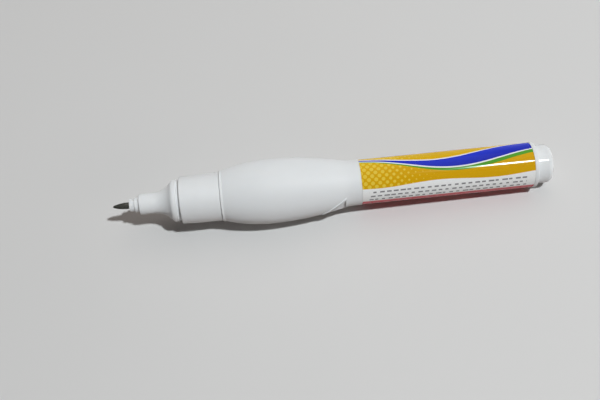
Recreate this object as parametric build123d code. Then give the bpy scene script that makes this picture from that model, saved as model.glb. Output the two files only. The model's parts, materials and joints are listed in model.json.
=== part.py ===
from build123d import *
import math
import os

# Every piece is drawn on one axis, X, from the pin's point at zero towards the tail, in millimetres.
# The finished pen is then laid down on the table, where Z is up.

# Lengths along the pen, from the point to the tail
needle_stand_out = 0.25
tip_exposed = 4.75
front_ring_length = 1.55
rear_ring_length = 1.4
nose_tube_length = 4.25
flare_length = 5.6
flange_width = 1.65
groove_width = 0.65
collar_length = 11.9
seam_gap = 0.08
lip_width = 0.75
bulb_front_length = 13.77
bulb_rear_length = 22.9
label_front_margin = 3.85
label_length = 51.0
label_rear_margin = 1.25
stub_length = 4.8

# Outer radii
tip_mouth_radius = 0.34
tip_radius = 0.98
front_ring_radius = 1.86
rear_ring_radius = 2.26
nose_tube_radius = 3.06
flange_radius = 6.25
groove_radius = 5.85
collar_front_radius = 6.95
collar_radius = 7.15
lip_radius = 7.52
bulb_front_radius = 7.46
belly_radius = 9.56
tail_radius = 6.75
stub_radius = 5.7

# Rounded edges and blends
ring_edge = 0.2
nose_edge = 0.25
flare_blend = 1.2
flange_edge = 0.35
collar_front_edge = 0.4
collar_rear_edge = 0.1
lip_edge = 0.2
lip_slope = 0.35
lip_blend = 0.6
tail_blend = 14.0
tail_edge = 0.4
stub_edge = 1.7

# Barrel shell
wall = 1.2
neck_radius = 6.0
neck_wall = 1.1
shoulder_bore_length = 1.3

# Flats moulded on both sides of the bulb, where it meets the tail
flat_top_angle = 17.0
flat_low_angle = -28.0
flat_apex_angle = -6.0
flat_apex_length = 6.2
flat_edge_top_angle = 20.0
flat_edge_low_angle = -9.0
flat_edge_length = 5.0
flat_setback = 1.1
ridge_radius = 0.3
ridge_reach = 1.4
ridge_steps = 6

# Flats under the belly and the tail's rim, where the soft bottle lies on the table
belly_flat_depth = 0.3
rim_flat_depth = 0.08

# Label film in its shallow seat
label_sink = 0.06
label_thickness = 0.1
label_slit = 0.6

# Collar web in front of the neck
web_length = 2.5

# Fits
press_clearance = 0.02
slide_clearance = 0.05
neck_clearance = 0.1
seat_clearance = 0.02
cone_clearance = 0.05

# Nose spigot and the chambers inside it
spigot_radius = 4.93
spigot_end_gap = 0.15
spring_bore = 1.97
chamber_radius = 3.6
chamber_wall = 1.6
seal_section = 0.8
seal_groove_width = 1.0
seal_setback = 3.0

# Tip bushing and metal tip
bushing_shank = 3.2
tip_shank = 4.4
tip_ogive = 4.1
tip_bore = 0.42
mouth_bore = 0.2
mouth_length = 0.75

# Valve needle
needle_point_radius = 0.15
needle_radius = 0.3
needle_cone = 0.3
needle_head_radius = 1.2
needle_head_length = 0.8
needle_head_gap = 0.6
stem_radius = 0.5

# Valve spring
wire_radius = 0.16
coil_radius = 0.98
coil_turns = 7
coil_points = 48

# Spring retainer
retainer_rim = 4.2
retainer_web = 2.0
retainer_wall = 0.6
boss_radius = 1.45
boss_length = 5.2
flow_hole_radius = 0.62
flow_hole_count = 4
stem_reach = 3.0

# End plug
plug_skirt_length = 6.6
plug_wall = 1.2
plug_end_wall = 1.6
plug_lead_in = 0.4

# Mixing ball
ball_radius = 3.0
ball_wall_gap = 0.1
ball_end_gap = 0.2

# Stations along the axis
tip_mouth = needle_stand_out
bushing_front = tip_mouth + tip_exposed
ring_step = bushing_front + front_ring_length
nose_front = ring_step + rear_ring_length
flare_start = nose_front + nose_tube_length
flange_front = flare_start + flare_length
flange_rear = flange_front + flange_width
collar_front = flange_rear + groove_width
collar_rear = collar_front + collar_length
neck_front = collar_front + web_length
lip_front = collar_rear + seam_gap
lip_rear = lip_front + lip_width
belly = lip_rear + bulb_front_length
tail_start = belly + bulb_rear_length
label_front = tail_start + label_front_margin
label_rear = label_front + label_length
tail_end = label_rear + label_rear_margin
stub_end = tail_end + stub_length
spigot_end = lip_rear - spigot_end_gap
bushing_end = nose_front + bushing_shank
head_front = bushing_end + needle_head_gap
head_rear = head_front + needle_head_length
retainer_rear = spigot_end
boss_front = retainer_rear - retainer_web - boss_length
needle_end = boss_front + stem_reach
plug_front = tail_end - plug_skirt_length

# Radii that follow from the fits
neck_bore = neck_radius - neck_wall
tail_bore = tail_radius - wall
label_radius = tail_radius - label_sink
seal_seat = neck_bore - seal_section


def turned(*outline):
    """Solid of revolution about X of a closed outline drawn with X along the axis and Y as radius."""
    return revolve(make_face(list(outline)), Axis.X)


def lathe(*corners):
    """Solid of revolution of a straight-sided outline."""
    return turned(Polyline(*corners, close=True))


def rod(start, end, radius):
    """Plain round bar from one station to the next."""
    return lathe((start, 0), (end, 0), (end, radius), (start, radius))


def circle_edges(piece, station, radius):
    """Round edges of a piece at one station and radius."""
    near = 1e-3
    round_ones = piece.edges().filter_by(GeomType.CIRCLE)
    return [
        edge
        for edge in round_ones
        if abs(edge.arc_center.X - station) < near and abs(edge.radius - radius) < near
    ]


def softened(piece, size, *places):
    """Piece with the named round edges rolled over by one radius."""
    return fillet([edge for place in places for edge in circle_edges(piece, *place)], size)


def rear_arc_radius():
    """Radius of the arc that leaves the belly level and reaches the tail tube."""
    drop = belly_radius - tail_radius
    return (bulb_rear_length**2 + drop**2) / (2 * drop)


def rear_radius(station):
    """Radius of the bulb at a station behind its belly."""
    arc = rear_arc_radius()
    return belly_radius - arc + math.sqrt(arc**2 - (station - belly) ** 2)


def barrel():
    """Squeeze bottle: neck, lip, bulb and tail tube in one shell."""
    outline = [
        Polyline((neck_front, 0), (neck_front, neck_radius), (lip_front, neck_radius)),
        Polyline(
            (lip_front, neck_radius),
            (lip_front, lip_radius),
            (lip_rear - lip_slope, lip_radius),
            (lip_rear, bulb_front_radius),
        ),
        TangentArc(
            (belly, belly_radius), (lip_rear, bulb_front_radius), tangent=(-1, 0)
        ),
        TangentArc((belly, belly_radius), (tail_start, tail_radius), tangent=(1, 0)),
        Polyline(
            (tail_start, tail_radius),
            (tail_end, tail_radius),
            (tail_end, 0),
            (neck_front, 0),
        ),
    ]
    shell = turned(*outline)
    shell = softened(shell, tail_blend, (tail_start, tail_radius))
    shell = softened(shell, lip_edge, (lip_front, lip_radius))
    shell = softened(
        shell, lip_blend, (lip_rear - lip_slope, lip_radius), (lip_rear, bulb_front_radius)
    )
    shell = softened(shell, tail_edge, (tail_end, tail_radius))
    inside_front = lip_front + shoulder_bore_length
    inside = [
        Polyline((neck_front, 0), (neck_front, neck_bore), (inside_front, neck_bore)),
        Line(
            (inside_front, neck_bore), (lip_rear + wall, bulb_front_radius - wall)
        ),
        TangentArc(
            (belly, belly_radius - wall),
            (lip_rear + wall, bulb_front_radius - wall),
            tangent=(-1, 0),
        ),
        TangentArc(
            (belly, belly_radius - wall), (tail_start, tail_bore), tangent=(1, 0)
        ),
        Polyline(
            (tail_start, tail_bore), (tail_end, tail_bore), (tail_end, 0), (neck_front, 0)
        ),
    ]
    seat = rod(label_front - slide_clearance, label_rear + slide_clearance, tail_radius)
    seat -= rod(
        label_front - slide_clearance,
        label_rear + slide_clearance,
        label_radius - label_thickness - press_clearance,
    )
    shell = shell - turned(*inside) - seat
    for side in (1, -1):
        shell = shell - shoulder_cut(side) + shoulder_ridge(side)
    below = Box(
        stub_end, stub_end, stub_end, align=(Align.CENTER, Align.CENTER, Align.MAX)
    )
    return shell - lie_down().inverse() * below


def on_bulb(station, angle, side):
    """Point of the bulb's surface at an angle above the level, on one side of the pen."""
    radius = rear_radius(station)
    level = math.radians(angle)
    return Vector(station, -side * radius * math.cos(level), radius * math.sin(level))


def shoulder_cut(side):
    """Wedge that leaves a flat on the bulb's rear shoulder, stepped at its rear and at its slanted top."""
    rear = tail_start - flat_setback
    top = on_bulb(rear, flat_top_angle, side)
    low = on_bulb(rear, flat_low_angle, side)
    apex = on_bulb(rear - flat_apex_length, flat_apex_angle, side)
    out = (low - top).cross(apex - top)
    edge_top = on_bulb(rear, flat_edge_top_angle, side)
    edge_low = on_bulb(rear - flat_edge_length, flat_edge_low_angle, side)
    inward = Vector(0, edge_top.Y + edge_low.Y, edge_top.Z + edge_low.Z)
    down = (edge_low - edge_top).cross(inward)
    reach = 2 * bulb_rear_length
    outer_half = Box(reach, reach, reach, align=(Align.CENTER, Align.CENTER, Align.MIN))
    beyond = Plane(origin=(top + low) / 2, z_dir=out if out.Y * side < 0 else -out) * outer_half
    below = Plane(origin=edge_top, z_dir=down if down.Z < 0 else -down) * outer_half
    ahead = Plane(origin=(rear, 0, 0), z_dir=(-1, 0, 0)) * outer_half
    return beyond & below & ahead


def shoulder_ridge(side):
    """Fine rounded ridge along the slanted top of the shoulder's flat."""
    rear = tail_start - flat_setback
    turn = flat_edge_low_angle - flat_edge_top_angle
    shares = [ridge_reach * index / ridge_steps for index in range(ridge_steps + 1)]
    path = Spline(
        *[
            on_bulb(rear - flat_edge_length * share, flat_edge_top_angle + turn * share, side)
            for share in shares
        ]
    )
    return sweep(Plane(origin=path @ 0, z_dir=path % 0) * Circle(ridge_radius), path=path)


def label():
    """Film wrapped round the tail in its seat, with a narrow slit where its ends meet."""
    inner = label_radius - label_thickness
    film = rod(label_front, label_rear, label_radius) - rod(label_front, label_rear, inner)
    slit = Pos(label_front, 0, 0) * Box(
        label_length,
        label_radius,
        label_slit,
        align=(Align.MIN, Align.MIN, Align.CENTER),
    )
    return film - slit


def end_plug():
    """Stopper with a skirt in the tail's bore and a stub that stands out behind it."""
    skirt = tail_bore - press_clearance
    hollow = skirt - plug_wall
    body = lathe(
        (plug_front, 0),
        (plug_front, skirt - plug_lead_in),
        (plug_front + plug_lead_in, skirt),
        (tail_end + seat_clearance, skirt),
        (tail_end + seat_clearance, stub_radius),
        (stub_end, stub_radius),
        (stub_end, 0),
    )
    body = softened(body, stub_edge, (stub_end, stub_radius))
    return body - rod(plug_front, stub_end - plug_end_wall, hollow)


def collar():
    """Sleeve round the neck: a drafted front, a straight land for the cap and a web in front of the neck."""
    draft_end = collar_front + collar_length / 2
    body = lathe(
        (collar_front, 0),
        (collar_front, collar_front_radius),
        (draft_end, collar_radius),
        (collar_rear, collar_radius),
        (collar_rear, 0),
    )
    body = softened(body, collar_front_edge, (collar_front, collar_front_radius))
    body = softened(body, collar_rear_edge, (collar_rear, collar_radius))
    body -= rod(collar_front, collar_rear, spigot_radius + press_clearance)
    return body - rod(neck_front - seat_clearance, collar_rear, neck_radius + neck_clearance)


def nose_cone():
    """Nose tube, flare and flange in front of the collar, and the hollow spigot inside the neck."""
    spigot_inner = neck_bore - press_clearance
    front = collar_front - seat_clearance
    outline = [
        Polyline(
            (nose_front, 0), (nose_front, nose_tube_radius), (flare_start, nose_tube_radius)
        ),
        TangentArc(
            (flare_start, nose_tube_radius),
            (flange_front, flange_radius),
            tangent=(1, 0),
        ),
        Polyline(
            (flange_front, flange_radius),
            (flange_rear, flange_radius),
            (flange_rear, groove_radius),
            (front, groove_radius),
            (front, spigot_radius),
            (neck_front, spigot_radius),
            (neck_front, spigot_inner),
            (spigot_end, spigot_inner),
            (spigot_end, 0),
            (nose_front, 0),
        ),
    ]
    body = turned(*outline)
    body = softened(body, nose_edge, (nose_front, nose_tube_radius))
    body = softened(body, flare_blend, (flange_front, flange_radius))
    body = softened(body, flange_edge, (flange_rear, flange_radius))
    chamber_front = collar_front - groove_width
    body -= rod(nose_front, spigot_end, spring_bore)
    body -= lathe(
        (chamber_front - chamber_wall, 0),
        (chamber_front - chamber_wall, spring_bore),
        (chamber_front, chamber_radius),
        (spigot_end, chamber_radius),
        (spigot_end, 0),
    )
    seal_front = spigot_end - seal_setback - seal_groove_width
    groove = rod(seal_front, seal_front + seal_groove_width, neck_bore)
    return body - (groove - rod(seal_front, seal_front + seal_groove_width, seal_seat))


def neck_seal():
    """Soft ring in the spigot's groove, against the neck's bore."""
    middle = spigot_end - seal_setback - seal_groove_width / 2
    section = seal_section / 2 - press_clearance
    ring = Torus((neck_bore + seal_seat) / 2, section)
    return Pos(middle, 0, 0) * Rot(0, 90, 0) * ring


def tip_bushing():
    """Two-step plastic holder, its shank pressed into the nose tube."""
    body = lathe(
        (bushing_front, 0),
        (bushing_front, front_ring_radius),
        (ring_step, front_ring_radius),
        (ring_step, rear_ring_radius),
        (nose_front - seat_clearance, rear_ring_radius),
        (nose_front - seat_clearance, spring_bore - press_clearance),
        (bushing_end, spring_bore - press_clearance),
        (bushing_end, 0),
    )
    body = softened(
        body, ring_edge, (bushing_front, front_ring_radius), (ring_step, rear_ring_radius)
    )
    return body - rod(bushing_front, bushing_end, tip_radius + press_clearance)


def metal_tip():
    """Drilled bullet point: a narrow mouth in front, a wider bore for the needle behind a cone seat."""
    shank_end = bushing_front + tip_shank
    seat = tip_mouth + mouth_length
    ogive_end = tip_mouth + tip_ogive
    outline = [
        Line((tip_mouth, mouth_bore), (tip_mouth, tip_mouth_radius)),
        TangentArc(
            (ogive_end, tip_radius), (tip_mouth, tip_mouth_radius), tangent=(-1, 0)
        ),
        Polyline(
            (ogive_end, tip_radius),
            (shank_end, tip_radius),
            (shank_end, tip_bore),
            (seat + needle_cone, tip_bore),
            (seat, mouth_bore),
            (tip_mouth, mouth_bore),
        ),
    ]
    return turned(*outline)


def valve_needle():
    """Pin with a rounded point, a cone that closes the tip's seat, a spring head and a guided stem."""
    slope = needle_cone / (needle_radius - needle_point_radius)
    seat = tip_mouth + mouth_length + cone_clearance
    cone_front = seat - slope * (mouth_bore - needle_point_radius)
    point = [
        TangentArc((0, 0), (needle_point_radius, needle_point_radius), tangent=(0, 1)),
        Polyline(
            (needle_point_radius, needle_point_radius),
            (cone_front, needle_point_radius),
            (cone_front + needle_cone, needle_radius),
            (head_front, needle_radius),
            (head_front, needle_head_radius),
            (head_rear, needle_head_radius),
            (head_rear, stem_radius),
            (needle_end, stem_radius),
            (needle_end, 0),
            (0, 0),
        ),
    ]
    return turned(*point)


def coil_point(turn):
    """Middle of the spring's wire after a number of turns, behind the needle's head."""
    start = head_rear + wire_radius + seat_clearance
    end = boss_front - wire_radius - seat_clearance
    angle = 2 * math.pi * turn
    along = start + (end - start) * turn / coil_turns
    return along, coil_radius * math.cos(angle), coil_radius * math.sin(angle)


def valve_spring():
    """Coil between the needle's head and the retainer's boss, one wire swept on a helix."""
    start = coil_point(0)[0]
    height = coil_point(coil_turns)[0] - start
    centre = (start, 0, 0)
    path = Helix(height / coil_turns, height, coil_radius, center=centre, direction=(1, 0, 0))
    section = Plane(origin=path @ 0, z_dir=path % 0) * Circle(wire_radius)
    return sweep(section, path=path)


def spring_retainer():
    """Seat pressed into the spigot's rear: rim, web with flow holes and a boss that guides the stem."""
    rim = chamber_radius - press_clearance
    web_front = retainer_rear - retainer_web
    body = rod(retainer_rear - retainer_rim, retainer_rear, rim)
    body -= rod(retainer_rear - retainer_rim, web_front, rim - retainer_wall)
    body += rod(boss_front, web_front, boss_radius)
    body -= rod(boss_front, retainer_rear, stem_radius + slide_clearance)
    hole_circle = (boss_radius + rim - retainer_wall) / 2
    for index in range(flow_hole_count):
        turn = 360 * index / flow_hole_count
        hole = Pos(web_front, 0, hole_circle) * Rot(0, 90, 0) * Cylinder(
            flow_hole_radius,
            retainer_web,
            align=(Align.CENTER, Align.CENTER, Align.MIN),
        )
        body -= Rot(turn, 0, 0) * hole
    return body


def mixing_ball():
    """Loose steel ball, at rest at the tail end of the bottle on its lower wall."""
    station = plug_front - ball_radius - ball_end_gap
    drop = tail_bore - ball_radius - ball_wall_gap
    return Pos(station, 0, -drop) * Sphere(ball_radius)


def lie_down():
    """Placing of the pen on the table: on its belly and the rim of its tail, mid-length at the origin."""
    arc = rear_arc_radius()
    across = belly - (tail_end - tail_edge)
    down = belly_radius - arc - (tail_radius - tail_edge)
    reach = arc - belly_flat_depth
    rise = tail_edge - rim_flat_depth - reach
    lean = math.atan2(across, down) + math.acos(rise / math.hypot(across, down))
    lean = math.remainder(lean, 2 * math.pi)
    lift = belly * math.sin(lean) + (belly_radius - arc) * math.cos(lean) + reach
    first = needle_point_radius * (math.cos(lean) - 1)
    last = (stub_end - stub_edge) * math.cos(lean)
    last += (stub_radius - stub_edge) * math.sin(lean) + stub_edge
    return Pos(-(first + last) / 2, 0, lift) * Rot(0, math.degrees(lean), 0)


pieces = [
    barrel,
    label,
    end_plug,
    collar,
    nose_cone,
    neck_seal,
    tip_bushing,
    metal_tip,
    valve_needle,
    valve_spring,
    spring_retainer,
    mixing_ball,
]
wire = [coil_point(index / coil_points) for index in range(coil_turns * coil_points + 1)]
coil_gap = min(
    math.dist(place, other)
    for index, place in enumerate(wire)
    for other in wire[index + coil_points // 2 :]
)
print("least gap of the spring to itself, mm:", round(coil_gap - 2 * wire_radius, 3))
rest = lie_down()
os.makedirs("parts", exist_ok=True)
for make in pieces:
    export_step(rest * make(), os.path.join("parts", make.__name__ + ".step"))
print("pieces written:", len(pieces))
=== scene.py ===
import json
import math
import bpy
import bmesh
from mathutils import Matrix, Vector


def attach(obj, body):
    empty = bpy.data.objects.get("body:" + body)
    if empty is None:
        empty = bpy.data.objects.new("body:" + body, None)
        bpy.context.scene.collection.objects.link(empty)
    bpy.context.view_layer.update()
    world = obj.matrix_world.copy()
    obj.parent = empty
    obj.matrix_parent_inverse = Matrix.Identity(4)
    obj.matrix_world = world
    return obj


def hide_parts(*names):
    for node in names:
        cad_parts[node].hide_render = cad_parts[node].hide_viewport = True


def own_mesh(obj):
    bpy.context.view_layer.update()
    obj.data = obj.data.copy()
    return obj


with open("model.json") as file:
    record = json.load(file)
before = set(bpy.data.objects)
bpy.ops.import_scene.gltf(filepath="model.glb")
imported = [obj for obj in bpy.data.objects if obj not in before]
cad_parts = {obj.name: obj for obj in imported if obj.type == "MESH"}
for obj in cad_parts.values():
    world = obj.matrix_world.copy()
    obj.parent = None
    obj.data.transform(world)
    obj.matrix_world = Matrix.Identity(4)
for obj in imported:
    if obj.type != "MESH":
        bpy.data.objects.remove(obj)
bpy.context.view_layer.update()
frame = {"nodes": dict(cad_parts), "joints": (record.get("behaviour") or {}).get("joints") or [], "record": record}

nodes = frame["nodes"]
joints = {joint["name"]: joint for joint in frame["joints"]}
mounts = {mount["name"]: mount for mount in frame["record"]["mounts"]}
millimetre = 0.001
fullTurn = 2 * math.pi

# the pen's own line: its direction from tip to tail, and the middle of the stub's end
penAxis = Vector(joints["needle_press"]["axis"])
tailPoint = Vector(mounts["tail_face"]["pos_m"])
lean = math.atan2(-penAxis.z, penAxis.x)


def spanOf(name):
    # start, end and largest radius of one node, in metres along the pen from the stub's end
    places = [vert.co - tailPoint for vert in nodes[name].data.vertices]
    along = [place.dot(penAxis) for place in places]
    radius = max((place - penAxis * step).length for place, step in zip(places, along))
    return min(along), max(along), radius


needleStart = spanOf("valve_needle")[0]
tipPoint = tailPoint + penAxis * needleStart
# from millimetres along the pen, across it and up from its line, to the shared frame
penToWorld = Matrix.Translation(tipPoint) @ Matrix.Rotation(lean, 4, "Y") @ Matrix.Scale(millimetre, 4)


def stationsOf(name):
    # start, end and largest radius of one node, in millimetres from the pen's point
    start, end, radius = spanOf(name)
    return (start - needleStart) / millimetre, (end - needleStart) / millimetre, radius / millimetre


collarStart, collarEnd = stationsOf("collar")[:2]
labelStart, labelEnd, labelRadius = stationsOf("label")
noseStart = stationsOf("nose_cone")[0]
labelLength = labelEnd - labelStart
labelRound = fullTurn * labelRadius
print("frame: pen", round(-needleStart / millimetre, 2), "mm long, leaning", round(math.degrees(lean), 3))


# small helpers for the finishes: a number or colour is set on a socket, an output is linked to it
def feed(tree, value, socket):
    if isinstance(value, (int, float, tuple)):
        socket.default_value = value
    else:
        tree.links.new(value, socket)


def calc(tree, operation, *values):
    node = tree.nodes.new("ShaderNodeMath")
    node.operation = operation
    for value, socket in zip(values, node.inputs):
        feed(tree, value, socket)
    return node.outputs[0]


def blendColour(tree, share, low, high):
    node = tree.nodes.new("ShaderNodeMix")
    node.data_type = "RGBA"
    feed(tree, share, node.inputs[0])
    feed(tree, low, node.inputs[6])
    feed(tree, high, node.inputs[7])
    return node.outputs[2]


def shaded(tree, colour, amount):
    node = tree.nodes.new("ShaderNodeVectorMath")
    node.operation = "SCALE"
    feed(tree, colour, node.inputs[0])
    feed(tree, amount, node.inputs["Scale"])
    return node.outputs[0]


def fade(tree, value, start, end, low=0.0, high=1.0):
    # smooth change from low to high between two values
    node = tree.nodes.new("ShaderNodeMapRange")
    node.interpolation_type = "SMOOTHSTEP"
    given = {"Value": value, "From Min": start, "From Max": end, "To Min": low, "To Max": high}
    for name, amount in given.items():
        feed(tree, amount, node.inputs[name])
    return node.outputs["Result"]


def cloud(tree, coords, scale, detail=2.0, rough=0.5):
    node = tree.nodes.new("ShaderNodeTexNoise")
    feed(tree, coords, node.inputs["Vector"])
    node.inputs["Scale"].default_value = scale
    node.inputs["Detail"].default_value = detail
    node.inputs["Roughness"].default_value = rough
    return node.outputs["Fac"]


def patches(tree, coords, scale):
    # ragged clouds, for rub marks, tarnish and bloom
    return cloud(tree, coords, scale, detail=4.0, rough=0.6)


def stretch(tree, coords, scale, turn=(0.0, 0.0, 0.0)):
    node = tree.nodes.new("ShaderNodeMapping")
    feed(tree, coords, node.inputs["Vector"])
    node.inputs["Scale"].default_value = scale
    node.inputs["Rotation"].default_value = turn
    return node.outputs["Vector"]


def rubMarks(tree, coords, look):
    # long faint marks along the pen, 1 where it was rubbed
    marks = patches(tree, stretch(tree, coords, look["rubStretch"], look["rubTurn"]), 1.0)
    return fade(tree, marks, look["rubFrom"], look["rubFrom"] + look["rubSpread"])


def penCoords(tree):
    # millimetres along the pen from its point, across it and up from its line
    place = tree.nodes.new("ShaderNodeTexCoord").outputs["Object"]
    node = tree.nodes.new("ShaderNodeMapping")
    node.inputs["Scale"].default_value = (1 / millimetre, 1 / millimetre, 1 / millimetre)
    node.inputs["Rotation"].default_value = (0, -lean, 0)
    node.inputs["Location"].default_value = Matrix.Rotation(-lean, 3, "Y") @ tipPoint / -millimetre
    feed(tree, place, node.inputs["Vector"])
    return node.outputs["Vector"]


def split(tree, vector):
    node = tree.nodes.new("ShaderNodeSeparateXYZ")
    feed(tree, vector, node.inputs[0])
    return tuple(node.outputs)


def raised(tree, shader, height):
    # height in millimetres
    node = tree.nodes.new("ShaderNodeBump")
    node.inputs["Distance"].default_value = millimetre
    feed(tree, height, node.inputs["Height"])
    feed(tree, node.outputs["Normal"], shader.inputs["Normal"])


def newFinish(name, sockets):
    finish = bpy.data.materials.new(name)
    finish.use_nodes = True
    shader = finish.node_tree.nodes["Principled BSDF"]
    for socket, value in sockets.items():
        shader.inputs[socket].default_value = value
    return finish, finish.node_tree, shader


def dress(name, finish):
    slots = nodes[name].data.materials
    slots.clear()
    slots.append(finish)


def objectFrom(bm, name, finish):
    # new object at the world's origin, with its place in its mesh
    mesh = bpy.data.meshes.new(name)
    bm.to_mesh(mesh)
    bm.free()
    mesh.materials.append(finish)
    made = bpy.data.objects.new(name, mesh)
    bpy.context.scene.collection.objects.link(made)
    return made


# white moulded plastic, with faint clouds, orange peel, rub marks and darkening at the seams, partly dust and
# partly painted shade
def mouldedWhite(name, look):
    sockets = {
        "Diffuse Roughness": look["matte"],
        "Specular IOR Level": look["specular"],
        "Subsurface Weight": look["glow"],
        "Subsurface Radius": look["glowTint"],
        "Subsurface Scale": look["glowDepth"],
    }
    finish, tree, shader = newFinish(name, sockets)
    coords = penCoords(tree)
    along = split(tree, coords)[0]
    soft = cloud(tree, coords, look["cloudScale"], detail=3.0)
    peel = cloud(tree, coords, look["peelScale"])
    grain = cloud(tree, coords, look["grainScale"], detail=1.0)
    rubs = rubMarks(tree, coords, look)
    colour = blendColour(tree, soft, look["shade"], look["colour"])
    dustAndShade = calc(tree, "MULTIPLY", rubs, look["rubTone"])
    # painted shade: the colour darkens towards each seam station, as shade in the joint together with dust
    for station, width, depth in look["seams"]:
        near = calc(tree, "ABSOLUTE", calc(tree, "SUBTRACT", along, station))
        dustAndShade = calc(tree, "MAXIMUM", dustAndShade, fade(tree, near, 0.0, width, depth, 0.0))
    feed(tree, blendColour(tree, dustAndShade, colour, look["dustAndShade"]), shader.inputs["Base Color"])
    rough = calc(tree, "MULTIPLY_ADD", peel, look["roughSpread"], look["rough"])
    feed(tree, calc(tree, "MULTIPLY_ADD", rubs, look["rubRough"], rough), shader.inputs["Roughness"])
    height = calc(tree, "MULTIPLY", peel, look["peelHeight"])
    height = calc(tree, "MULTIPLY_ADD", grain, look["grainHeight"], height)
    height = calc(tree, "MULTIPLY_ADD", rubs, -look["rubDepth"], height)
    raised(tree, shader, height)
    return finish


# lengths and heights in millimetres, scales per millimetre
barrelLook = {
    "colour": (0.80, 0.825, 0.835, 1.0),
    "shade": (0.76, 0.785, 0.795, 1.0),
    "dustAndShade": (0.47, 0.47, 0.46, 1.0),
    "matte": 0.5,
    "specular": 0.4,
    "glow": 0.12,
    "glowTint": (1.0, 0.9, 0.8),
    "glowDepth": 0.0007,  # metres
    "cloudScale": 0.09,
    "peelScale": 0.9,
    "peelHeight": 0.006,
    "grainScale": 7.0,
    "grainHeight": 0.0012,
    "rough": 0.5,
    "roughSpread": 0.1,
    "rubStretch": (0.22, 1.9, 1.9),
    "rubTurn": (0.0, 0.12, 0.2),
    "rubFrom": 0.66,
    "rubSpread": 0.08,
    "rubTone": 0.06,
    "rubRough": 0.14,
    "rubDepth": 0.002,
    # station, width and depth of the darkening at each seam: dust with painted shade
    "seams": ((collarEnd + 0.1, 0.25, 0.05), (labelStart, 0.22, 0.22), (labelEnd, 0.22, 0.22)),
}
dress("barrel", mouldedWhite("satinWhiteBottle", barrelLook))

frontLook = dict(
    barrelLook,
    matte=0.38,
    specular=0.45,
    rough=0.4,
    peelHeight=0.003,
    rubFrom=0.69,
    # painted shade in the groove before the collar and at the collar's and the nose's joints, with dust
    seams=((collarStart - 0.35, 0.5, 0.1), (collarEnd, 0.2, 0.03), (noseStart, 0.3, 0.05)),
)
frontFinish = mouldedWhite("halfGlossWhiteFront", frontLook)
for name in ("nose_cone", "tip_bushing"):
    dress(name, frontFinish)

# the shade falls off a little faster on the collar
collarLook = dict(frontLook, matte=0.25)
dress("collar", mouldedWhite("halfGlossWhiteCollar", collarLook))

plugLook = dict(
    barrelLook,
    specular=0.3,
    rough=0.09,
    roughSpread=0.04,
    peelHeight=0.003,
    # painted shade in the corner at the stub's foot, where it meets the barrel's end, with dust
    seams=((labelEnd + 1.1, 0.3, 0.4),),
)
dress("end_plug", mouldedWhite("glossWhitePlug", plugLook))

retainerLook = dict(
    barrelLook,
    colour=(0.72, 0.71, 0.66, 1.0),
    shade=(0.66, 0.65, 0.6, 1.0),
    glow=0.3,
    rough=0.4,
    seams=(),
)
dress("spring_retainer", mouldedWhite("naturalPlasticSeat", retainerLook))
print("finishes: moulded plastics")


# turned metal, with fine tool rings round the pen and a little tarnish
def turnedMetal(name, look):
    finish, tree, shader = newFinish(name, {"Metallic": 1.0})
    coords = penCoords(tree)
    rings = tree.nodes.new("ShaderNodeTexWave")
    rings.bands_direction = "X"
    feed(tree, coords, rings.inputs["Vector"])
    rings.inputs["Scale"].default_value = look["ringScale"]
    rings.inputs["Distortion"].default_value = look["ringWander"]
    tarnish = patches(tree, coords, look["tarnishScale"])
    spots = fade(tree, tarnish, look["tarnishFrom"], look["tarnishTo"])
    feed(tree, blendColour(tree, spots, look["colour"], look["tarnish"]), shader.inputs["Base Color"])
    rough = calc(tree, "MULTIPLY_ADD", tarnish, look["roughSpread"], look["rough"])
    feed(tree, rough, shader.inputs["Roughness"])
    raised(tree, shader, calc(tree, "MULTIPLY", rings.outputs["Fac"], look["ringHeight"]))
    return finish


tipLook = {
    "colour": (0.068, 0.069, 0.062, 1.0),
    "tarnish": (0.042, 0.042, 0.037, 1.0),
    "ringScale": 2.2,
    "ringWander": 0.6,
    "ringHeight": 0.0015,
    "tarnishScale": 1.3,
    "tarnishFrom": 0.35,
    "tarnishTo": 0.7,
    "rough": 0.21,
    "roughSpread": 0.16,
}
dress("metal_tip", turnedMetal("darkTurnedTip", tipLook))

steelLook = dict(
    tipLook,
    colour=(0.56, 0.56, 0.56, 1.0),
    tarnish=(0.42, 0.41, 0.4, 1.0),
    ringScale=3.0,
    ringHeight=0.0006,
    tarnishScale=0.9,
    rough=0.16,
    roughSpread=0.14,
)
steelFinish = turnedMetal("brightSteel", steelLook)
for name in ("valve_needle", "mixing_ball"):
    dress(name, steelFinish)
print("finishes: metals")

# smooth black rubber with a pale bloom
sealLook = {
    "colour": (0.028, 0.028, 0.03, 1.0),
    "bloom": (0.06, 0.06, 0.062, 1.0),
    "bloomScale": 1.1,
    "specular": 0.35,
    "rough": 0.5,
    "roughSpread": 0.25,
    "grainScale": 9.0,
    "grainHeight": 0.004,
}


def softRubber(look):
    finish, tree, shader = newFinish("sealRubber", {"Specular IOR Level": look["specular"]})
    coords = penCoords(tree)
    bloom = patches(tree, coords, look["bloomScale"])
    grain = cloud(tree, coords, look["grainScale"])
    feed(tree, blendColour(tree, bloom, look["colour"], look["bloom"]), shader.inputs["Base Color"])
    rough = calc(tree, "MULTIPLY_ADD", bloom, look["roughSpread"], look["rough"])
    feed(tree, rough, shader.inputs["Roughness"])
    raised(tree, shader, calc(tree, "MULTIPLY", grain, look["grainHeight"]))
    return finish


dress("neck_seal", softRubber(sealLook))
print("finishes: seal")

# valve spring: a round wire wound behind the needle's head; the real one shortens as the needle goes in, this one
# is built as long as the valve_spring part
springLook = {
    "wire": 0.32,
    "turns": 7,
    "stepsPerTurn": 48,
    "sides": 12,
}


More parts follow.
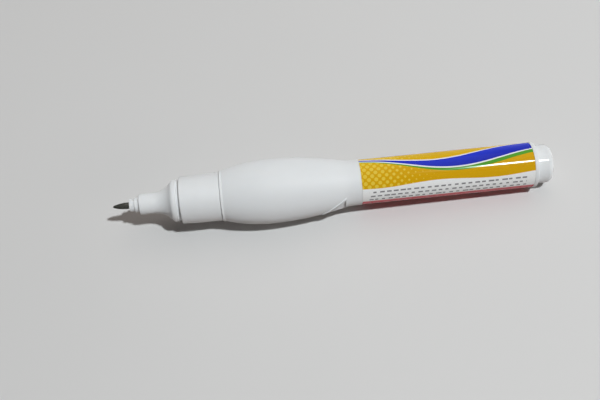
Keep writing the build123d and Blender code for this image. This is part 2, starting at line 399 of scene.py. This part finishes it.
def makeSpring(look):
    start, end, outer = stationsOf("valve_spring")
    wireRadius = look["wire"] / 2
    coil = outer - wireRadius
    pitch = (end - start - look["wire"]) / look["turns"]
    lead = math.atan2(pitch, fullTurn * coil)
    bm = bmesh.new()
    bmesh.ops.create_circle(bm, cap_ends=True, segments=look["sides"], radius=wireRadius)
    facing = Matrix.Translation((start + wireRadius, coil, 0)) @ Matrix.Rotation(lead, 4, "Y")
    bmesh.ops.transform(bm, matrix=facing, verts=bm.verts)
    bmesh.ops.spin(
        bm,
        geom=[*bm.faces, *bm.edges, *bm.verts],
        cent=(0, 0, 0),
        axis=(1, 0, 0),
        dvec=(pitch / look["stepsPerTurn"], 0, 0),
        angle=fullTurn * look["turns"],
        steps=look["turns"] * look["stepsPerTurn"],
        use_merge=False,
    )
    bmesh.ops.recalc_face_normals(bm, faces=bm.faces)
    for face in bm.faces:
        face.smooth = len(face.verts) == 4  # the wire's round, not its two cut ends
    bm.transform(penToWorld)
    spring = objectFrom(bm, "valveSpring", steelFinish)
    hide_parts("valve_spring")
    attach(spring, "pen")
    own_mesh(spring)
    print("valve spring:", len(spring.data.polygons), "faces")


makeSpring(springLook)

# label film: a thin strip spun round the tail, open at its slit, with rounded rims and a plain print
# lengths in millimetres, measured along the film from its front end or round it from its slit
labelLook = {
    "thickness": 0.09,
    "slit": 0.6,
    "rimEdge": 0.03,
    "rimRow": 0.15,  # row of faces beside each rim
    "steps": 168,
    "specular": 0.12,
    "matte": 0.6,
    "white": (0.9, 0.91, 0.905, 1.0),
    "amber": (0.77, 0.485, 0.002, 1.0),
    "deepAmber": (0.73, 0.43, 0.001, 1.0),
    "paleAmber": (0.84, 0.64, 0.06, 1.0),
    "blue": (0.02, 0.045, 0.68, 1.0),
    "deepBlue": (0.014, 0.03, 0.5, 1.0),
    "green": (0.1, 0.4, 0.03, 1.0),
    "red": (0.81, 0.125, 0.15, 1.0),
    "grey": (0.09, 0.09, 0.1, 1.0),
    "crisp": 0.04,  # half the width of a printed edge
    "fieldWave": (0.45, 34.0, 0.6, 16.1),  # height, length, start angle and middle
    "fieldBack": 38.6,  # the amber goes on from here to the slit
    "fieldTone": (3.0, 16.0),  # from amber to deep amber
    "dotPitch": 1.5,
    "dotTurn": (0.0, 0.0, math.pi / 4),
    "dotRun": (1.0, 26.0),
    "dotSize": (0.4, 0.02),  # share of the pitch at each end of the run
    "dotEdge": 0.03,
    "ribbonWave": (2.3, 62.0, -1.0, 8.4),
    "ribbonRun": (4.0, 44.0),
    "ribbonHalf": (0.35, 2.2),  # half the blue ribbon's width at each end of the run
    "keyline": 0.4,
    "greenShare": 1.45,  # the green's lower side, as a share of the blue's and a margin
    "greenMargin": 0.55,
    "redBand": (21.25, 31.2),
    "dashRow": 1.4,
    "dashStart": 0.23,
    "dashStep": 2.0,
    "dashShift": 0.37,  # shift of each row against the last, in steps
    "dashShort": 0.4,  # shortest dash, and how much longer one may be, in steps
    "dashSpread": 0.45,
    "dashEdge": 0.02,
    "dashTall": (0.3, 0.66),  # share of the row
    "dashInk": 0.8,
    "dashPanels": (((17.1, 20.95), (2.0, 48.5)), ((31.9, 37.9), (3.0, 46.0))),  # round, along
    "inkScale": 3.2,
    "inkRange": (0.3, 0.75),
    "inkShade": (0.93, 1.0),
    "inkHeight": 0.001,
    "rippleStretch": (0.12, 0.5, 0.5),
    "rippleHeight": 0.005,
    "rough": 0.07,
    "roughSpread": 0.05,
    "rubStretch": (0.3, 2.4, 2.4),
    "rubTurn": (0.0, 0.2, 0.1),
    "rubFrom": 0.66,
    "rubSpread": 0.09,
    "rubRough": 0.12,
}


def filmMesh(look):
    inner = labelRadius - look["thickness"]
    slitAngle = look["slit"] / labelRound * fullTurn
    near = labelStart + look["rimRow"]
    far = labelEnd - look["rimRow"]
    corners = [(labelStart, inner), (labelEnd, inner), (labelEnd, labelRadius)]
    corners += [(far, labelRadius), (near, labelRadius), (labelStart, labelRadius)]
    bm = bmesh.new()
    strip = bm.faces.new([bm.verts.new((x, radius, 0.0)) for x, radius in corners])
    halfSlit = Matrix.Rotation(slitAngle / 2, 3, "X")
    bmesh.ops.rotate(bm, verts=bm.verts, cent=(0, 0, 0), matrix=halfSlit)
    bmesh.ops.spin(
        bm,
        geom=[strip, *strip.edges, *strip.verts],
        cent=(0, 0, 0),
        axis=(1, 0, 0),
        angle=fullTurn - slitAngle,
        steps=look["steps"],
        use_merge=False,
    )
    bmesh.ops.recalc_face_normals(bm, faces=bm.faces)

    def onRim(vert):
        inset = min(vert.co.x - labelStart, labelEnd - vert.co.x)
        depth = labelRadius - math.hypot(vert.co.y, vert.co.z)
        return inset < look["rimRow"] / 2 and depth < look["thickness"] / 2

    bmesh.ops.bevel(
        bm,
        geom=[edge for edge in bm.edges if all(onRim(vert) for vert in edge.verts)],
        offset=look["rimEdge"],
        offset_type="OFFSET",
        segments=2,
        profile=0.5,
        affect="EDGES",
        material=-1,
    )
    uvs = bm.loops.layers.uv.new("wrap")
    for face in bm.faces:
        face.smooth = True
        for loop in face.loops:
            x, y, z = loop.vert.co
            turn = math.atan2(z, y) % fullTurn  # from the slit, over the top, to the front
            loop[uvs].uv = ((x - labelStart) / labelLength, turn / fullTurn)
    bm.transform(penToWorld)
    return bm


def beyond(tree, value, line, edge):
    # 1 past a printed line, 0 before it
    return fade(tree, calc(tree, "SUBTRACT", value, line), -edge, edge)


def upTo(tree, value, line, edge):
    # 1 before a printed line, 0 past it
    return fade(tree, calc(tree, "SUBTRACT", value, line), -edge, edge, 1.0, 0.0)


def inside(tree, value, low, high, edge):
    return calc(tree, "MULTIPLY", beyond(tree, value, low, edge), upTo(tree, value, high, edge))


def waveLine(tree, along, shape):
    height, length, start, middle = shape
    turn = calc(tree, "MULTIPLY_ADD", along, fullTurn / length, start)
    return calc(tree, "MULTIPLY_ADD", calc(tree, "SINE", turn), height, middle)


def amberField(tree, look, wrap, along, around):
    # amber with a waved lower edge, a strip behind the slit and dots that fade from the front end
    tone = fade(tree, around, *look["fieldTone"])
    amber = blendColour(tree, tone, look["amber"], look["deepAmber"])
    cells = (labelLength / look["dotPitch"], labelRound / look["dotPitch"], 1.0)
    columns, rows, _ = split(tree, stretch(tree, wrap, cells, look["dotTurn"]))
    offX = calc(tree, "SUBTRACT", calc(tree, "FRACT", columns), 0.5)
    offY = calc(tree, "SUBTRACT", calc(tree, "FRACT", rows), 0.5)
    squares = calc(tree, "MULTIPLY_ADD", offX, offX, calc(tree, "MULTIPLY", offY, offY))
    size = fade(tree, along, *look["dotRun"], *look["dotSize"])
    dots = upTo(tree, calc(tree, "SQRT", squares), size, look["dotEdge"])
    amber = blendColour(tree, dots, amber, look["paleAmber"])
    front = upTo(tree, around, waveLine(tree, along, look["fieldWave"]), look["crisp"])
    back = beyond(tree, around, look["fieldBack"], look["crisp"])
    return blendColour(tree, calc(tree, "MAXIMUM", front, back), look["white"], amber)


def addRibbons(tree, look, along, around, colour):
    # blue ribbon that widens towards the tail, white keylines beside it and a green ribbon under it
    off = calc(tree, "SUBTRACT", around, waveLine(tree, along, look["ribbonWave"]))
    half = fade(tree, along, *look["ribbonRun"], *look["ribbonHalf"])
    upper = calc(tree, "MULTIPLY", half, -1.0)
    keyUpper = calc(tree, "SUBTRACT", upper, look["keyline"])
    keyLower = calc(tree, "ADD", half, look["keyline"])
    greenLower = calc(tree, "MULTIPLY_ADD", half, look["greenShare"], look["greenMargin"])
    green = inside(tree, off, keyLower, greenLower, look["crisp"])
    colour = blendColour(tree, green, colour, look["green"])
    keylines = inside(tree, off, keyUpper, keyLower, look["crisp"])
    colour = blendColour(tree, keylines, colour, look["white"])
    widest = look["ribbonHalf"][1]
    blue = blendColour(tree, fade(tree, off, -widest, widest), look["blue"], look["deepBlue"])
    return blendColour(tree, inside(tree, off, upper, half, look["crisp"]), colour, blue)


def greyDashes(tree, look, along, around):
    # rows of short dashes of uneven length, on the white strip and on the back panel
    place = calc(tree, "DIVIDE", calc(tree, "SUBTRACT", around, look["dashStart"]), look["dashRow"])
    row = calc(tree, "FLOOR", place)
    steps = calc(tree, "DIVIDE", along, look["dashStep"])
    steps = calc(tree, "MULTIPLY_ADD", row, look["dashShift"], steps)
    cell = tree.nodes.new("ShaderNodeCombineXYZ")
    feed(tree, calc(tree, "FLOOR", steps), cell.inputs[0])
    feed(tree, row, cell.inputs[1])
    pick = tree.nodes.new("ShaderNodeTexWhiteNoise")
    pick.noise_dimensions = "2D"
    feed(tree, cell.outputs[0], pick.inputs["Vector"])
    length = calc(tree, "MULTIPLY_ADD", pick.outputs["Value"], look["dashSpread"], look["dashShort"])
    dash = upTo(tree, calc(tree, "FRACT", steps), length, look["dashEdge"])
    tall = inside(tree, calc(tree, "FRACT", place), *look["dashTall"], look["crisp"])
    panels = []
    for sides, ends in look["dashPanels"]:
        across = inside(tree, around, *sides, look["crisp"])
        panels.append(calc(tree, "MULTIPLY", across, inside(tree, along, *ends, look["crisp"])))
    dash = calc(tree, "MULTIPLY", calc(tree, "MULTIPLY", dash, tall), calc(tree, "MAXIMUM", *panels))
    return calc(tree, "MULTIPLY", dash, look["dashInk"])


def printedFilm(look):
    sockets = {"Specular IOR Level": look["specular"], "Diffuse Roughness": look["matte"]}
    finish, tree, shader = newFinish("printedLabel", sockets)
    uvMap = tree.nodes.new("ShaderNodeUVMap")
    uvMap.uv_map = "wrap"
    wrap = uvMap.outputs["UV"]
    alongShare, roundShare, _ = split(tree, wrap)
    along = calc(tree, "MULTIPLY", alongShare, labelLength)
    around = calc(tree, "MULTIPLY", roundShare, labelRound)
    colour = amberField(tree, look, wrap, along, around)
    colour = addRibbons(tree, look, along, around, colour)
    redBand = inside(tree, around, *look["redBand"], look["crisp"])
    colour = blendColour(tree, redBand, colour, look["red"])
    colour = blendColour(tree, greyDashes(tree, look, along, around), colour, look["grey"])
    # ink mottle, a few rub marks and a waviness in the film
    coords = penCoords(tree)
    ink = cloud(tree, coords, look["inkScale"], detail=3.0, rough=0.6)
    shade = fade(tree, ink, *look["inkRange"], *look["inkShade"])
    feed(tree, shaded(tree, colour, shade), shader.inputs["Base Color"])
    rough = calc(tree, "MULTIPLY_ADD", ink, look["roughSpread"], look["rough"])
    rubs = rubMarks(tree, coords, look)
    feed(tree, calc(tree, "MULTIPLY_ADD", rubs, look["rubRough"], rough), shader.inputs["Roughness"])
    ripple = cloud(tree, stretch(tree, coords, look["rippleStretch"]), 1.0)
    height = calc(tree, "MULTIPLY", ripple, look["rippleHeight"])
    raised(tree, shader, calc(tree, "MULTIPLY_ADD", ink, look["inkHeight"], height))
    return finish


labelFilm = objectFrom(filmMesh(labelLook), "labelFilm", printedFilm(labelLook))
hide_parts("label")
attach(labelFilm, "pen")
print("label film:", len(labelFilm.data.polygons), "faces")

# plain pale floor: the lens sees it pale, and the pen gets a quieter light back from it
# far from the pen it fades into the backdrop; lengths in metres
floorLook = {
    "size": 8.0,
    "fadeFrom": 0.16,
    "fadeTo": 0.6,
    "backdrop": (0.7, 0.705, 0.7, 1.0),
    "colour": (0.70, 0.705, 0.70, 1.0),
    "shade": (0.67, 0.675, 0.67, 1.0),
    "bounce": (0.48, 0.43, 0.41, 1.0),
    "cloudScale": 9.0,
    "rough": 0.85,
    "specular": 0.2,
}


def seenRays(tree):
    # 1 for what the lens, gloss and glass show
    path = tree.nodes.new("ShaderNodeLightPath").outputs
    direct = calc(tree, "MAXIMUM", path["Is Camera Ray"], path["Is Glossy Ray"])
    return calc(tree, "MAXIMUM", direct, path["Is Transmission Ray"])


def mixShaders(tree, share, low, high):
    # joins two shaders and sends them to the tree's output
    either = tree.nodes.new("ShaderNodeMixShader")
    feed(tree, share, either.inputs[0])
    feed(tree, low.outputs[0], either.inputs[1])
    feed(tree, high.outputs[0], either.inputs[2])
    output = next(node for node in tree.nodes if node.type.startswith("OUTPUT"))
    feed(tree, either.outputs[0], output.inputs["Surface"])


def paleFinish(look):
    sockets = {"Roughness": look["rough"], "Specular IOR Level": look["specular"]}
    finish, tree, shader = newFinish("paleFloor", sockets)
    place = tree.nodes.new("ShaderNodeTexCoord").outputs["Object"]
    seen = seenRays(tree)
    pale = blendColour(tree, cloud(tree, place, look["cloudScale"]), look["shade"], look["colour"])
    feed(tree, blendColour(tree, seen, look["bounce"], pale), shader.inputs["Base Color"])
    away = tree.nodes.new("ShaderNodeVectorMath")
    away.operation = "LENGTH"
    feed(tree, place, away.inputs[0])
    farOff = fade(tree, away.outputs["Value"], look["fadeFrom"], look["fadeTo"])
    backdrop = tree.nodes.new("ShaderNodeEmission")
    backdrop.inputs["Color"].default_value = look["backdrop"]
    mixShaders(tree, calc(tree, "MULTIPLY", farOff, seen), shader, backdrop)
    return finish


def makeFloor(look):
    bm = bmesh.new()
    bmesh.ops.create_grid(bm, x_segments=1, y_segments=1, size=look["size"] / 2)
    objectFrom(bm, "floor", paleFinish(look))


makeFloor(floorLook)

# small key from the right, wide soft light from behind, weak low light from the front
# sizes and distances in metres, power in watts
lampLooks = {
    "keyLamp": {
        "comesFrom": (0.405, -0.25, 1.17),
        "away": 1.25,
        "size": (0.065, 0.065),
        "power": 11.2,
        "tint": (0.97, 1.0, 1.02),
    },
    "softLamp": {
        "comesFrom": (0.1, 0.45, 0.9),
        "away": 0.95,
        "size": (0.9, 0.9),
        "power": 2.0,
        "tint": (1.12, 0.99, 0.92),
    },
    "sideLamp": {
        "comesFrom": (0.7, -0.65, 0.35),
        "away": 0.9,
        "size": (0.6, 0.4),
        "power": 0.64,
        "tint": (1.12, 0.99, 0.92),
    },
}


def addLamp(name, look):
    lamp = bpy.data.lights.new(name, "AREA")
    lamp.shape = "RECTANGLE"
    lamp.size, lamp.size_y = look["size"]
    lamp.energy = look["power"]
    lamp.color = look["tint"]
    lampObject = bpy.data.objects.new(name, lamp)
    direction = Vector(look["comesFrom"]).normalized()
    lampObject.location = direction * look["away"]
    lampObject.rotation_euler = direction.to_track_quat("Z", "Y").to_euler()
    bpy.context.scene.collection.objects.link(lampObject)


for name, lampLook in lampLooks.items():
    addLamp(name, lampLook)

# dim room that shows as the pale backdrop
roomLook = {
    "fill": (0.01, 0.01, 0.01, 1.0),
    "backdrop": floorLook["backdrop"],
}


def makeRoom(look):
    world = bpy.data.worlds.new("paleRoom")
    bpy.context.scene.world = world
    world.use_nodes = True
    tree = world.node_tree
    fill = tree.nodes["Background"]
    fill.inputs["Color"].default_value = look["fill"]
    backdrop = tree.nodes.new("ShaderNodeBackground")
    backdrop.inputs["Color"].default_value = look["backdrop"]
    mixShaders(tree, seenRays(tree), fill, backdrop)


makeRoom(roomLook)

# camera at the photograph's place, rolled a little; place in metres, lens and sensor in millimetres
cameraLook = {
    "place": (-0.01009934, -0.1353, 0.23921726),
    "right": (0.99298584, -0.1026, -0.05877077),
    "up": (0.11824424, 0.8626, 0.49187737),
    "lens": 54.0,
    "sensor": 36.0,
    "clipStart": 0.01,
}


def addCamera(look):
    lens = bpy.data.cameras.new("photoCamera")
    lens.lens = look["lens"]
    lens.sensor_width = look["sensor"]
    lens.clip_start = look["clipStart"]
    camera = bpy.data.objects.new("photoCamera", lens)
    right = Vector(look["right"]).normalized()
    up = Vector(look["up"])
    up = (up - right * up.dot(right)).normalized()
    facing = Matrix((right, up, right.cross(up))).transposed().to_4x4()
    camera.matrix_world = Matrix.Translation(look["place"]) @ facing
    bpy.context.scene.collection.objects.link(camera)
    bpy.context.scene.camera = camera


addCamera(cameraLook)
bpy.context.scene.view_settings.view_transform = "Standard"
print("stage: floor, lamps, room and camera")
